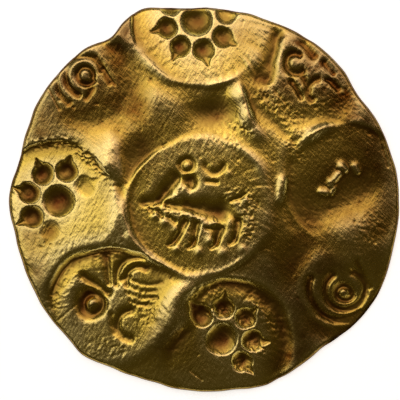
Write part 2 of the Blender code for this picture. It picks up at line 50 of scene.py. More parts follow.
# Every size of the coin, in millimetres, bearings in degrees anticlockwise from +X
coin = {
    "flanDiameter": 20.04,
    "flanLobes": (  # bearing, how far the edge stands out, spread
        (0, 0.16, 14), (33, -0.31, 10), (62, -0.08, 16), (108, 0.47, 8), (120, -0.31, 5),
        (165, -0.13, 9), (180, 0.18, 8), (222, 0.13, 22), (232, 0.18, 5), (252, -0.16, 9),
        (288, 0.16, 9), (308, -0.13, 6), (331, 0.34, 15),
    ),
    "landThickness": 0.90,
    "thinnest": 0.22,
    "domeDrop": 0.36,
    "edgeRound": 0.24,
    "edgeDrop": 0.18,
    "edgeTurnUp": 0.10,
    # Smooth unevenness of each kind: how strong, in millimetres or as a share, how far
    # apart its hills lie, and its seed
    "wavers": {
        "outline": (0.045, 0.80, 17), "eastward": (0.06, 1.1, 11), "northward": (0.06, 1.1, 13),
        "rims": (0.014, 0.9, 7), "land": (0.03, 2.6, 1), "ripple": (0.012, 1.1, 2),
        "cuts": (0.30, 0.55, 5), "drawnMetal": (1.0, 1.0, 21),
        "flakes": (1.0, 0.12, 31), "finerFlakes": (0.8, 0.066, 32),
    },
    # How the whole flan is bent: place, rise, length, breadth, turn
    "bends": (
        ((7.60, -6.60), -0.16, 4.20, 2.60, 45),
        ((-7.60, 7.20), 0.36, 3.60, 3.00, 45),
        ((7.50, 6.10), 0.20, 3.00, 2.60, -45),
    ),
    # Swollen and sunken metal between the punches: place, rise, length, breadth, turn
    "swells": (
        ((-2.20, 5.10), 0.08, 1.20, 0.85, -35),
        ((0.62, 4.45), -0.25, 1.30, 0.85, 6),
        ((5.20, 4.10), 0.12, 0.90, 0.60, -40),
        ((3.86, 3.78), -0.08, 1.40, 0.28, -40),
        ((4.70, -3.20), -0.12, 2.60, 1.15, 65),
        ((-3.10, 2.20), -0.06, 1.30, 0.80, -50),
        ((-3.20, -3.60), 0.08, 0.80, 0.50, -40),
        ((-4.45, -2.25), 0.21, 0.90, 0.80, 45),
        ((-8.00, -3.95), 0.12, 1.00, 0.80, 30),
        ((-5.20, 1.62), 0.21, 0.80, 0.72, 0),
    ),
    # Folds in the metal: start, end, rise, and how far it reaches to the left and the
    # right of the way from start to end
    "creases": (
        ((4.17, 8.24), (3.65, 6.42), 0.12, 0.15, 0.15),
        ((-4.35, 1.10), (-5.00, 3.40), 0.11, 1.05, 0.40),
        ((-4.95, 8.80), (-5.10, 5.60), 0.28, 1.30, 2.60),
    ),
    # Folds that were pushed up over the rims of the outer punches
    "lateCreases": (
        ((1.98, 5.35), (2.18, 4.60), 0.22, 0.26, 0.70),
        ((2.35, 4.10), (2.75, 3.50), 0.10, 0.30, 0.50),
        ((4.10, 0.95), (3.93, 0.05), 0.10, 0.22, 0.30),
    ),
    # Each punch's face: where it struck, half its width and height, how far its middle
    # lies below the land, how much more than the land it slopes and towards which
    # bearing, how far its rim lies below its middle, how wide its wall is, where that
    # wall spreads further (bearing, spread, more width outwards, or inwards if less than
    # 0), the metal raised or drawn down outside its rim (bearing, spread, rise, reach),
    # the lips left standing along the rim itself (bearing, spread, rise, reach), and the
    # bays where the rim lies out of its round (bearing, spread, how far out)
    "boarFace": {"at": (-0.39, -0.41), "half": (3.70, 3.52), "sunk": 0.0, "slope": 0.008,
                 "toward": 150, "crown": -0.03, "wall": 0.22,
                 "eased": ((-10, 45, 0.5), (80, 30, 0.35)),
                 "collars": ((40, 24, 0.15, 0.50), (144, 34, -0.10, 0.95), (235, 24, -0.04, 0.5)),
                 "lips": ((188, 36, 0.10, 0.24), (240, 28, 0.10, 0.22), (305, 20, 0.04, 0.16)),
                 "bays": ()},
    "westFace": {"at": (-7.62, -0.16), "half": (3.20, 3.25), "sunk": -0.01, "slope": 0.084,
                 "toward": 152, "crown": 0.0, "wall": 0.22,
                 "eased": ((265, 30, 0.5), (-20, 30, 0.7)),
                 "collars": ((75, 50, -0.07, 0.22), (235, 30, -0.06, 0.6)),
                 "lips": ((85, 50, 0.05, 0.20),),
                 "bays": ((42, 26, -0.24), (250, 30, 0.22))},
    "northFace": {"at": (-0.28, 9.27), "half": (3.50, 3.40), "sunk": 0.04, "slope": 0.035,
                  "toward": 100, "crown": 0.02, "wall": 0.24,
                  "eased": ((300, 20, 0.5), (345, 30, 0.8)),
                  "collars": ((335, 20, -0.03, 0.6), (190, 26, -0.06, 0.5)),
                  "lips": ((226, 24, 0.11, 0.24), (292, 16, 0.06, 0.18)),
                  "bays": ()},
    "southFace": {"at": (0.91, -7.30), "half": (3.32, 3.21), "sunk": 0.06, "slope": 0.055,
                  "toward": 48, "crown": 0.07, "wall": 0.30,
                  "eased": ((150, 40, -1.3), (30, 40, 0.3), (-25, 30, 0.6)),
                  "collars": ((153, 38, 0.32, 1.15), (20, 40, -0.05, 0.5)),
                  "lips": ((62, 34, 0.06, 0.20),),
                  "bays": ((160, 30, -0.60),)},
    "beastFace": {"at": (7.28, 0.83), "half": (3.11, 3.16), "sunk": 0.06, "slope": 0.0,
                  "toward": 310, "crown": 0.02, "wall": 0.30,
                  "eased": ((270, 70, 1.0), (130, 30, 0.3)),
                  "collars": ((124, 24, -0.18, 0.32), (190, 20, 0.06, 0.3)),
                  "lips": ((119, 14, 0.19, 0.36), (190, 40, 0.05, 0.18)),
                  "bays": ()},
    "knotFace": {"at": (-5.00, -5.49), "half": (2.95, 2.85), "sunk": 0.04, "slope": 0.042,
                 "toward": 120, "crown": 0.0, "wall": 0.20,
                 "eased": ((0, 60, 0.8), (270, 40, 0.5)),
                 "collars": ((138, 36, -0.37, 0.28),),
                 "lips": (),
                 "bays": ()},
    "shellFace": {"at": (-5.93, 6.22), "half": (2.28, 2.28), "sunk": 0.0, "slope": 0.03,
                  "toward": 320, "crown": 0.02, "wall": 0.60,
                  "eased": ((-60, 90, 1.4),), "collars": (), "lips": (), "bays": ()},
    "frondFace": {"at": (5.36, 6.42), "half": (2.38, 2.38), "sunk": 0.03, "slope": 0.055,
                  "toward": 315, "crown": 0.02, "wall": 0.60,
                  "eased": ((-60, 90, 1.0),), "collars": (), "lips": (), "bays": ()},
    "coilFace": {"at": (7.33, -4.66), "half": (2.28, 2.49), "sunk": 0.06, "slope": 0.04,
                 "toward": 300, "crown": 0.02, "wall": 0.80,
                 "eased": ((-60, 120, 0.8),), "collars": (), "lips": (), "bays": ()},
    # The lotus: a round heart and eight petals, of which each blow left only some
    "heartRadius": 0.86,
    "heartDepth": 0.31,
    "petalRadius": 0.61,
    "petalDepth": 0.25,
    "petalRing": 1.60,
    "petalTip": 2.54,
    "petalCount": 8,
    "pointBreadth": 0.58,
    "pointDepth": 0.20,
    "pointRise": 0.15,
    "westLotus": {"at": (-7.58, -0.10), "turn": 29,
                  "petals": {0: 0.32, 1: 1.15, 2: 1.15, 3: 1.15, 4: 1.1, 5: 0.26}},
    "northLotus": {"at": (-0.39, 9.29), "turn": 14,
                   "petals": {0: 0.7, 3: 0.8, 4: 1.0, 5: 1.0, 6: 0.9, 7: 0.8}},
    "southLotus": {"at": (0.89, -7.22), "turn": -4,
                   "petals": {-1: 1.0, 0: 1.1, 1: 1.05, 2: 1.05, 3: 1.1}},
    # The boar, facing west, and the signs above its back.  Each limb runs from one
    # place to another with a radius at each end and a depth
    "boarLimbs": (
        ((-0.85, -0.38), (0.85, -0.66), 0.46, 0.84, 0.23),      # barrel
        ((-1.85, -0.28), (-0.95, -0.46), 0.30, 0.42, 0.13),     # shoulder
        ((-2.98, -0.22), (-2.30, -0.08), 0.28, 0.42, 0.12),     # head and snout
        ((-1.46, 1.04), (-1.92, 0.40), 0.42, 0.46, 0.16),       # mane
        ((-1.92, 0.40), (-2.26, -0.06), 0.46, 0.42, 0.15),
        ((-0.72, 0.92), (-0.66, 0.78), 0.46, 0.44, 0.19),       # hump
        ((1.10, -0.50), (1.70, -1.10), 0.46, 0.34, 0.10),       # haunch
        ((-0.90, -1.25), (-1.55, -2.15), 0.30, 0.20, 0.13),     # near foreleg
        ((-0.36, -1.32), (-0.58, -2.28), 0.33, 0.20, 0.13),     # off foreleg
        ((0.78, -1.58), (0.66, -2.32), 0.46, 0.22, 0.14),       # off hind leg
        ((0.20, -1.52), (0.80, -1.60), 0.18, 0.28, 0.08),       # flank
        ((1.78, -1.15), (1.62, -2.10), 0.32, 0.20, 0.12),       # near hind leg
        ((-1.60, -2.25), (-1.82, -2.36), 0.18, 0.15, 0.08),     # hooves
        ((-0.58, -2.38), (-0.80, -2.48), 0.18, 0.15, 0.08),
        ((0.60, -2.40), (0.40, -2.50), 0.18, 0.15, 0.08),
        ((1.58, -2.20), (1.38, -2.34), 0.18, 0.15, 0.07),
        ((-1.76, -0.98), (-1.44, -1.22), 0.20, 0.22, 0.08),     # tusk
        ((-2.75, -0.50), (-2.60, -0.68), 0.18, 0.20, 0.07),     # jaw
        ((-2.36, -0.62), (-2.18, -0.86), 0.20, 0.20, 0.08),
        ((0.10, 0.92), (0.72, 0.86), 0.16, 0.15, 0.06),         # bar under the crescent
        ((1.45, -0.05), (2.05, 0.18), 0.15, 0.22, 0.07),        # tail
    ),
    "sunAt": (-0.94, 1.80),
    "sunRadius": 0.33,
    "sunHalfGroove": 0.22,
    "sunDepth": 0.09,
    "crescent": ((0.55, 1.86), 200, 335, 0.50, 0.50, 0.24, 0.07),
    # The worn beast: a broad hollow, and what is left of the body standing in it
    "beastHollow": ((6.00, -0.60), (8.30, 0.40), 1.95, 1.80, 0.19),
    "beastBody": (
        ((7.18, 1.70), (7.36, 1.56), 0.30, 0.28, 0.13),
        ((7.02, 1.32), (6.80, 1.06), 0.26, 0.26, 0.12),
        ((6.58, 0.92), (6.62, 0.74), 0.24, 0.24, 0.10),
        ((6.74, 0.55), (6.62, 0.34), 0.24, 0.22, 0.09),
        ((6.34, 0.36), (6.10, 0.40), 0.30, 0.24, 0.11),
        ((7.88, 1.74), (8.02, 1.46), 0.28, 0.26, 0.10),
    ),
    "beastBulge": ((7.75, -2.10), 1.25, 0.12),
    # The scrolls.  Limbs are as the boar's.  Curls run round a place from one bearing
    # to another, from a first radius to a last, with half a groove's breadth and a depth
    "shellCurls": (
        ((-6.14, 6.45), -20, 330, 0.38, 0.50, 0.24, 0.11),
        ((-6.14, 6.45), 20, 250, 0.92, 1.10, 0.26, 0.10),
        ((-6.05, 6.35), 130, 235, 1.52, 1.66, 0.24, 0.07),
    ),
    "shellLimbs": (
        ((-5.30, 7.00), (-4.90, 6.05), 0.20, 0.18, 0.05),
        ((-5.80, 5.75), (-6.10, 5.25), 0.26, 0.22, 0.07),
    ),
    "frondCurls": (
        ((4.79, 7.04), 70, 300, 0.50, 0.50, 0.30, 0.14),
        ((5.95, 5.60), 90, 230, 0.62, 0.50, 0.24, 0.09),
    ),
    "frondLimbs": (
        ((3.75, 8.30), (3.28, 6.30), 0.58, 0.54, 0.18),
        ((5.25, 8.05), (5.70, 7.45), 0.46, 0.34, 0.10),
        ((4.55, 6.10), (5.05, 5.30), 0.24, 0.22, 0.09),
        ((5.05, 6.45), (5.50, 5.70), 0.24, 0.20, 0.09),
        ((6.30, 7.10), (6.75, 6.55), 0.26, 0.24, 0.09),
        ((6.55, 6.20), (7.00, 5.75), 0.26, 0.24, 0.09),
    ),
    "coilCurls": (
        ((7.33, -4.90), 0, 350, 0.36, 0.46, 0.28, 0.15),
        ((7.33, -4.76), 130, 425, 0.98, 1.10, 0.27, 0.14),
        ((7.17, -4.66), 165, 305, 1.66, 1.70, 0.27, 0.12),
    ),
    "coilLimbs": (
        ((7.95, -3.21), (8.62, -4.66), 0.24, 0.24, 0.07),
    ),
    "knotCurls": (
        ((-5.80, -5.50), 0, 360, 0.52, 0.52, 0.40, 0.22),
        ((-3.34, -4.25), 75, 190, 1.22, 1.22, 0.26, 0.10),
        ((-3.34, -4.25), 60, 200, 0.70, 0.70, 0.24, 0.09),
        ((-3.70, -6.53), 100, 260, 0.78, 0.78, 0.30, 0.12),
        ((-2.90, -2.60), 240, 292, 1.85, 1.85, 0.15, 0.040),
        ((-2.90, -2.60), 236, 280, 2.18, 2.18, 0.15, 0.035),
        ((-2.90, -2.60), 243, 280, 2.50, 2.50, 0.15, 0.035),
        ((-2.90, -2.60), 250, 272, 2.84, 2.84, 0.16, 0.040),
    ),
    "knotLimbs": (
        ((-6.20, -4.05), (-5.00, -4.90), 0.30, 0.36, 0.13),
        ((-5.08, -2.95), (-4.92, -4.40), 0.26, 0.26, 0.12),
        ((-4.30, -4.24), (-3.96, -4.10), 0.28, 0.28, 0.10),
        ((-4.79, -6.01), (-4.58, -6.94), 0.26, 0.24, 0.07),
    ),
    # How far the punches leaned as they struck
    "strokeLean": 0.32,
    # The underside: flat pads where the anvil met each blow, hollow between them
    "padShare": 0.80,
    "padEase": 0.9,
    "hollowRise": 0.05,
    # Cells across the coin, and the share of facets kept once the underside is thinned
    "topCells": 300,
    "keptBack": 0.54,
    # Metal drawn outwards in fine strokes past a rim: face, bearing, spread, share of
    # the radius where they are strongest, how far they reach, depth
    "drawnStrokes": (
        ("boarFace", -5, 60, 0.95, 0.16, 0.012), ("boarFace", 120, 70, 0.93, 0.10, 0.010),
        ("boarFace", 235, 50, 0.96, 0.08, 0.012), ("northFace", 330, 40, 0.95, 0.20, 0.022),
        ("northFace", 205, 30, 0.93, 0.16, 0.018), ("northFace", 270, 30, 0.92, 0.10, 0.008),
        ("southFace", 30, 45, 0.86, 0.18, 0.020), ("southFace", 160, 40, 0.95, 0.25, 0.016),
        ("westFace", 60, 60, 0.97, 0.10, 0.016), ("westFace", 300, 60, 0.95, 0.14, 0.010),
        ("beastFace", 150, 60, 0.95, 0.12, 0.016), ("knotFace", 150, 60, 0.95, 0.10, 0.014),
    ),
    # How broad and how long one such stroke is, and how far it slants round the face
    "drawnBreadth": 0.17,
    "drawnLength": 1.1,
    "drawnSlant": 0.25,
    # Rims that the blow left a little proud: face, bearing, spread, share of the radius
    # where they stand highest, reach, rise
    "proudRims": (
        ("knotFace", 152, 46, 0.74, 0.46, 0.075), ("boarFace", 188, 36, 0.985, 0.13, 0.035),
        ("boarFace", 206, 24, 1.05, 0.60, 0.104),
        ("southFace", 48, 34, 0.74, 0.45, 0.060), ("southFace", 124, 28, 1.04, 0.40, 0.055),
        ("beastFace", 128, 26, 1.02, 0.55, 0.065),
    ),
    # Small knobs that the punch left standing about the boar: place, radius, rise
    "bosses": (
        ((-1.45, -2.56), 0.20, 0.055), ((-0.30, -2.70), 0.22, 0.055), ((0.94, -2.74), 0.24, 0.055),
        ((1.98, -2.56), 0.22, 0.050), ((-2.56, -0.84), 0.20, 0.060), ((-2.08, -1.16), 0.20, 0.060),
        ((-1.46, -1.58), 0.18, 0.045), ((-1.10, -0.62), 0.20, 0.035), ((1.45, -1.02), 0.20, 0.045),
        ((-0.98, 0.62), 0.18, 0.045), ((1.28, 1.36), 0.16, 0.030),
        ((-0.68, -0.72), 0.18, 0.035), ((-0.14, -0.98), 0.20, 0.035), ((0.46, -1.22), 0.20, 0.035),
        ((-0.52, -1.90), 0.16, 0.045), ((0.30, -2.10), 0.20, 0.045), ((2.12, -0.10), 0.20, 0.045),
    ),
    # Metal that tore and spalled between blows: place, length, breadth, turn, depth
    "spalls": (
        ((4.10, 4.60), 1.9, 0.65, -42, 0.016), ((-5.83, 1.95), 1.3, 0.30, -42, 0.035),
        ((-8.00, 2.95), 1.3, 0.30, 5, 0.030), ((-5.05, -7.72), 1.3, 0.60, 10, 0.013),
        ((2.25, -0.80), 1.3, 0.42, 95, 0.026), ((-4.90, -2.65), 0.9, 0.40, 10, 0.026),
        ((6.20, 5.60), 2.0, 1.30, -30, 0.008), ((0.00, -4.75), 0.9, 0.40, 10, 0.022),
        ((1.70, 3.80), 1.0, 0.30, -20, 0.030), ((8.60, -1.60), 1.0, 0.80, 80, 0.013),
        ((-4.40, -2.00), 0.9, 0.50, 45, 0.007), ((4.70, 2.60), 0.8, 0.35, -50, 0.020),
        ((-0.20, -1.00), 1.4, 0.30, -14, 0.022), ((-2.30, -0.50), 0.8, 0.35, -10, 0.024),
        ((1.50, 0.10), 0.8, 0.50, -30, 0.016), ((-1.35, 0.35), 0.6, 0.20, 52, 0.022),
        ((-3.10, -5.60), 1.0, 0.70, -40, 0.018), ((0.90, 3.20), 1.4, 0.40, -18, 0.016),
        ((-7.30, -4.70), 1.6, 0.70, 55, 0.010), ((0.75, -5.85), 0.75, 0.30, 0, 0.050),
        ((2.20, -6.35), 0.4, 0.30, -30, 0.050), ((2.75, -7.65), 0.5, 0.30, -20, 0.055),
        ((1.95, -8.65), 0.4, 0.30, -30, 0.050), ((3.10, -5.90), 1.5, 0.35, -50, 0.024),
    ),
    # Cracks and thin folds: start, end, half breadth, depth
    "cracks": (
        ((-7.64, -6.32), (-6.50, -5.35), 0.06, 0.013), ((-8.03, 5.70), (-7.49, 4.66), 0.07, 0.05),
        ((3.65, 5.70), (4.53, 4.66), 0.05, 0.03), ((-5.21, 6.79), (-4.64, 5.96), 0.08, 0.05),
        ((-0.72, -8.90), (-0.10, -9.40), 0.06, 0.05), ((9.20, 3.10), (9.60, 1.70), 0.05, 0.04),
    ),
    # Knocks and scratches of use: how many, how large, the share of the depth that the
    # shallowest pits have, and the scratches' usual way and its spread in radians
    "pitCount": 160,
    "pitRadii": (0.035, 0.10),
    "pitDepth": 0.03,
    "pitShallowest": 0.2,
    "scratchCount": 60,
    "scratchLengths": (0.5, 2.6),
    "scratchWay": 0.9,
    "scratchSpread": 0.9,
    "scratchHalfBreadth": 0.045,
    "scratchDepth": 0.006,
    "fineSeed": 5,
    # Brown patches, partly tarnish that never rubbed off and partly painted shade laid where the
    # metal lies dim: place, length, breadth, turn, strength
    "tarnishAndShade": (
        ((-6.6, 6.0), 3.8, 3.0, 45, 0.88), ((-4.6, 8.0), 2.2, 0.9, 85, 0.85),
        ((5.4, -4.8), 4.4, 3.2, -50, 0.80), ((9.0, 2.8), 4.2, 1.8, 95, 0.85),
        ((8.1, 4.4), 1.6, 1.0, -40, 0.50), ((6.6, 1.3), 1.6, 1.2, 40, 0.60),
        ((0.3, 4.9), 1.8, 0.6, 5, 0.25), ((-1.2, -7.2), 1.4, 2.4, 20, 0.35),
        ((-8.6, -3.9), 1.5, 0.8, -60, 0.65), ((-2.6, 4.2), 2.4, 1.1, -20, 0.25),
        ((-3.1, 2.8), 1.6, 1.0, -50, 0.50), ((6.2, 6.8), 2.6, 1.9, -45, 0.98),
        ((-6.8, -5.9), 1.6, 1.2, 60, 0.20), ((-3.6, 4.8), 1.3, 1.2, 20, 0.72),
        ((-0.9, 3.3), 1.1, 0.6, -10, 0.10), ((-8.1, -1.7), 0.6, 0.6, 0, 0.80),
        ((1.7, 8.6), 1.0, 0.8, 0, 0.45), ((7.4, -0.7), 1.8, 0.8, 20, 0.48),
        ((-2.1, -7.2), 0.9, 0.9, 0, 0.55), ((5.6, -3.2), 0.9, 0.9, 0, 0.65),
        ((4.3, -8.3), 1.1, 0.8, 40, 0.80), ((5.7, -1.5), 0.9, 1.2, 20, 0.50),
        ((-8.2, 3.5), 1.3, 1.0, 0, 0.55), ((3.0, 5.9), 0.8, 1.0, 0, 0.70),
        ((-3.6, 8.4), 1.4, 0.8, 0, 0.35), ((4.7, 8.2), 1.2, 0.9, -40, 0.85),
        ((-9.0, -1.8), 0.9, 1.0, 0, 0.60), ((-9.0, 0.4), 0.7, 1.3, 0, 0.50),
        ((-8.8, 4.3), 0.8, 0.8, 0, 0.35), ((-5.85, -5.6), 0.8, 0.8, 0, 0.55),
        ((5.3, -7.3), 1.7, 0.9, 45, 0.60), ((9.1, -1.6), 0.9, 1.2, 0, 0.45),
        ((-1.0, 5.9), 1.3, 0.5, -20, 0.30), ((7.0, 6.2), 1.8, 1.2, -45, 0.90),
        ((4.4, 5.8), 1.0, 0.9, -40, 0.60),
    ),
    # How broad and how deep a hollow is when soil and painted shade fill it: cells, millimetres
    "recessCells": (13, 3),
    "recessDepths": (0.16, 0.022),
    # How high a ridge and a crest stand when they are drawn quite bright, as rubbed wear with
    # painted highlight, in millimetres, and how much of the tarnish and painted shade goes from
    # such a crest
    "rubAndHighlightHeight": 0.07,
    "crestHeight": 0.016,
    "crestClean": 0.42,
    # How far in from the edge the painted shade on the rim lies, over how far the hammered grain
    # eases off there, both as shares of the radius, and how much of that grain the edge has
    "rimShadeReach": 0.020,
    "grainEase": 0.08,
    "grainLeast": 0.2,
    # How tarnished and how grimy the plain side is
    "backTarnish": 0.45,
    "backGrime": 0.3,
}

def ramp(low, high, value):
    share = np.clip((value - low) / (high - low), 0.0, 1.0)
    return share * share * (3.0 - 2.0 * share)

def bowl(share):
    # groove with soft sloping sides: 1 in the middle, 0.13 at share 1
    return np.exp(-2.0 * np.minimum(share, 3.0) ** 2)

def cup(share):
    # round bottomed pit with a crisp lip
    return np.clip(1.0 - share ** 2.0, 0.0, 1.0)

def offBearing(x, y, at, bearing):
    # how far round from a bearing a place lies, in radians, either way
    angle = np.arctan2(y - at[1], x - at[0]) - np.radians(bearing)
    return np.angle(np.exp(1j * angle))

def turned(x, y, at, bearing):
    # how far a place lies along and across a bearing
    way = np.radians(bearing)
    dx = x - at[0]
    dy = y - at[1]
    return dx * np.cos(way) + dy * np.sin(way), dy * np.cos(way) - dx * np.sin(way)

def swell(x, y, at, length, breadth, turn):
    # 1 at one place, easing off over a length and a breadth
    along, across = turned(x, y, at, turn)
    return np.exp(-(along / length) ** 2 - (across / breadth) ** 2)

def crease(x, y, start, end, left, right):
    # 1 along the fold's line, easing off at its ends and to its two sides
    length = np.hypot(end[0] - start[0], end[1] - start[1])
    bearing = np.degrees(np.arctan2(end[1] - start[1], end[0] - start[0]))
    along, across = turned(x, y, start, bearing)
    beyond = np.maximum(np.maximum(-along, along - length), 0.0)
    reach = np.where(across > 0.0, left, right)
    return np.exp(-(across / reach) ** 2 - (beyond / max(left, right)) ** 2)

def leaned(dx, dy):
    # the punches leaned: a cut is broad and gentle on its north west side, and narrow
    # and steep on its south east side
    away = np.hypot(dx, dy)
    return away / (1.0 + coin["strokeLean"] * (dy - dx) / (np.sqrt(2.0) * away + 1e-9))

def limb(x, y, start, end, startRadius, endRadius):
    # distance from a tapering limb's middle line, as a share of its radius there
    dx = end[0] - start[0]
    dy = end[1] - start[1]
    along = ((x - start[0]) * dx + (y - start[1]) * dy) / (dx * dx + dy * dy)
    along = np.clip(along, 0.0, 1.0)
    away = leaned(x - start[0] - along * dx, y - start[1] - along * dy)
    return away / (startRadius + (endRadius - startRadius) * along)

def curl(x, y, at, start, end, startRadius, endRadius, halfGroove):
    # distance from a curl's middle line, as a share of half its groove
    middle = 0.5 * (start + end)
    spread = np.radians(0.5 * (end - start))
    angle = np.clip(offBearing(x, y, at, middle), -spread, spread)
    radius = startRadius + (endRadius - startRadius) * (angle + spread) / (2.0 * spread)
    way = angle + np.radians(middle)
    away = leaned(x - at[0] - radius * np.cos(way), y - at[1] - radius * np.sin(way))
    return away / halfGroove

def waver(x, y, name):
    # smooth hills through heights drawn on a grid, which is laid over the coin
    strength, size, seed = coin["wavers"][name]
    side = 64
    heights = np.random.RandomState(seed).uniform(-1.0, 1.0, (side, side))
    across = x / size + (side // 2 - 1)
    up = y / size + (side // 2 - 1)
    column = np.floor(across).astype(int)
    row = np.floor(up).astype(int)
    across = ramp(0.0, 1.0, across - column)
    up = ramp(0.0, 1.0, up - row)
    column = column % (side - 1)
    row = row % (side - 1)
    low = heights[column, row] * (1.0 - across) + heights[column + 1, row] * across
    high = heights[column, row + 1] * (1.0 - across) + heights[column + 1, row + 1] * across
    return strength * (low * (1.0 - up) + high * up)

def flanRadius(angle):
    radius = np.full_like(angle, 0.5 * coin["flanDiameter"])
    for bearing, rise, spread in coin["flanLobes"]:
        off = np.angle(np.exp(1j * (angle - np.radians(bearing))))
        radius = radius + rise * np.exp(-(off / np.radians(spread)) ** 2)
    return radius + waver(radius * np.cos(angle), radius * np.sin(angle), "outline")

def dome(x, y):
    # the flan before any blow, high in its middle and bent
    reach = np.hypot(x, y) / (0.5 * coin["flanDiameter"])
    z = coin["landThickness"] - coin["domeDrop"] * reach ** 2
    for at, rise, length, breadth, turn in coin["bends"]:
        z = z + rise * swell(x, y, at, length, breadth, turn)
    return z

def folded(z, x, y, creases):
    for start, end, rise, left, right in creases:
        z = z + rise * crease(x, y, start, end, left, right)
    return z

def land(x, y):
    # the metal between the punches
    z = dome(x, y)
    for at, rise, length, breadth, turn in coin["swells"]:
        z = z + rise * swell(x, y, at, length, breadth, turn)
    z = folded(z, x, y, coin["creases"])
    return z + waver(x, y, "land") + waver(x, y, "ripple")

def faceShare(x, y, face):
    # how far out a place lies, as a share of the way to the face's rim, and that way
    halfWidth, halfHeight = face["half"]
    share = np.hypot((x - face["at"][0]) / halfWidth, (y - face["at"][1]) / halfHeight)
    return share, 0.5 * (halfWidth + halfHeight)

def roundFace(x, y, face, bearing, spread):
    # how far round the face a place lies from a bearing, as a share of the spread
    return offBearing(x, y, face["at"], bearing) / np.radians(spread)

def press(z, x, y, face):
    # the punch's face replaces the land inside its rim
    share, size = faceShare(x, y, face)
    share = share * (1.0 + waver(x, y, "rims"))
    for bearing, spread, out in face["bays"]:
        off = roundFace(x, y, face, bearing, spread)
        share = share / (1.0 + out / size * np.exp(-off ** 2))
    along, _ = turned(x, y, face["at"], face["toward"])
    floor = dome(x, y) - face["sunk"] - face["slope"] * along
    floor = floor - face["crown"] * np.minimum(share, 1.1) ** 3
    outside = np.maximum(share - 1.0, 0.0) * size
    for bearing, spread, rise, reach in face["collars"]:
        off = roundFace(x, y, face, bearing, spread)
        z = z + rise * np.exp(-off ** 2 - (outside / reach) ** 2)
    band = 0.5 * face["wall"] / size
    inner = 1.0 - band
    outer = 1.0 + band
    for bearing, spread, more in face["eased"]:
        off = roundFace(x, y, face, bearing, spread)
        inner = inner + min(more, 0.0) / size * np.exp(-off ** 2)
        outer = outer + max(more, 0.0) / size * np.exp(-off ** 2)
    inside = 1.0 - ramp(inner, outer, share)
    z = z + (floor - z) * inside
    for bearing, spread, rise, reach in face["lips"]:
        off = roundFace(x, y, face, bearing, spread)
        z = z + rise * np.exp(-off ** 2 - ((share - 1.0) * size / reach) ** 2)
    return z

def merge(cut, other):
    # about the deeper of two cuts, with a soft change where they meet
    return (cut ** 4 + other ** 4 + 1e-12) ** 0.25

def limbsCut(x, y, limbs):
    cut = np.zeros_like(x)
    for start, end, startRadius, endRadius, depth in limbs:
        cut = merge(cut, depth * bowl(limb(x, y, start, end, startRadius, endRadius)))
    return cut

def curlsCut(x, y, curls):
    cut = np.zeros_like(x)
    for at, start, end, startRadius, endRadius, halfGroove, depth in curls:
        share = curl(x, y, at, start, end, startRadius, endRadius, halfGroove)
        cut = merge(cut, depth * bowl(share))
    return cut

def scrollCut(x, y, curls, limbs):
    # the strokes are worn unevenly, shallower here and deeper there
    worn = 1.0 + waver(x, y, "cuts")
    return worn * merge(curlsCut(x, y, curls), limbsCut(x, y, limbs))

def lotusCut(x, y, lotus):
    # a round heart, and round petals that run out to a point
    at = lotus["at"]
    cut = coin["heartDepth"] * cup(np.hypot(x - at[0], y - at[1]) / coin["heartRadius"])
    for index, strength in lotus["petals"].items():
        along, across = turned(x, y, at, lotus["turn"] + 360.0 / coin["petalCount"] * index)
        out = along - coin["petalRing"]
        body = cup(np.hypot(out, across) / coin["petalRadius"])
        beyond = np.clip(out / (coin["petalTip"] - coin["petalRing"]), 0.0, 1.0)
        half = coin["pointBreadth"] * (1.0 - beyond) + 1e-6
        point = np.where(out > 0.0, cup(np.abs(across) / half), 0.0)
        point = point * (coin["pointDepth"] - coin["pointRise"] * beyond)
        cut = np.maximum(cut, strength * np.maximum(coin["petalDepth"] * body, point))
    return cut

def boarCut(x, y):
    away = np.abs(np.hypot(x - coin["sunAt"][0], y - coin["sunAt"][1]) - coin["sunRadius"])
    sun = coin["sunDepth"] * bowl(away / coin["sunHalfGroove"])
    return merge(scrollCut(x, y, (coin["crescent"],), coin["boarLimbs"]), sun)

def beastCut(x, y):
    # the broad hollow, less what still stands in it
    start, end, startRadius, endRadius, depth = coin["beastHollow"]
    cut = depth * bowl(limb(x, y, start, end, startRadius, endRadius))
    at, reach, rise = coin["beastBulge"]
    bulge = rise * np.exp(-(np.hypot(x - at[0], y - at[1]) / reach) ** 2)
    return cut - limbsCut(x, y, coin["beastBody"]) - bulge

def drawnStrokes(x, y):
    # fine ridges that run outwards across a rim, as the metal flowed from under the punch
    z = np.zeros_like(x)
    for name, bearing, spread, strongest, reach, depth in coin["drawnStrokes"]:
        share, size = faceShare(x, y, coin[name])
        off = offBearing(x, y, coin[name]["at"], bearing)
        window = np.exp(-(off / np.radians(spread)) ** 2 - ((share - strongest) / reach) ** 2)
        across = (off + coin["drawnSlant"] * share) * size / coin["drawnBreadth"]
        z = z + depth * window * waver(across, share * size / coin["drawnLength"], "drawnMetal")
    return z

def proudRims(x, y):
    # smooth low ridges, each along one stretch of a rim
    z = np.zeros_like(x)
    for name, bearing, spread, highest, reach, rise in coin["proudRims"]:
        share, size = faceShare(x, y, coin[name])
        off = roundFace(x, y, coin[name], bearing, spread)
        z = z + rise * np.exp(-off ** 2 - ((share - highest) * size / reach) ** 2)
    return z

def bosses(x, y):
    # soft round knobs
    z = np.zeros_like(x)
    for at, radius, rise in coin["bosses"]:
        z = z + rise * swell(x, y, at, radius, radius, 0)
    return z

def spalls(x, y):
    # torn metal: small flakes with finer ones on them
    z = np.zeros_like(x)
    for at, length, breadth, turn, depth in coin["spalls"]:
        along, across = turned(x, y, at, turn)
        window = np.exp(-(along / length) ** 4 - (across / breadth) ** 4)
        flakes = waver(along, across, "flakes") + waver(along, across, "finerFlakes")
        z = z + depth * window * flakes
    return z

def cracks(x, y):
    z = np.zeros_like(x)
    for start, end, halfBreadth, depth in coin["cracks"]:
        z = z - depth * bowl(limb(x, y, start, end, halfBreadth, halfBreadth))
    return z

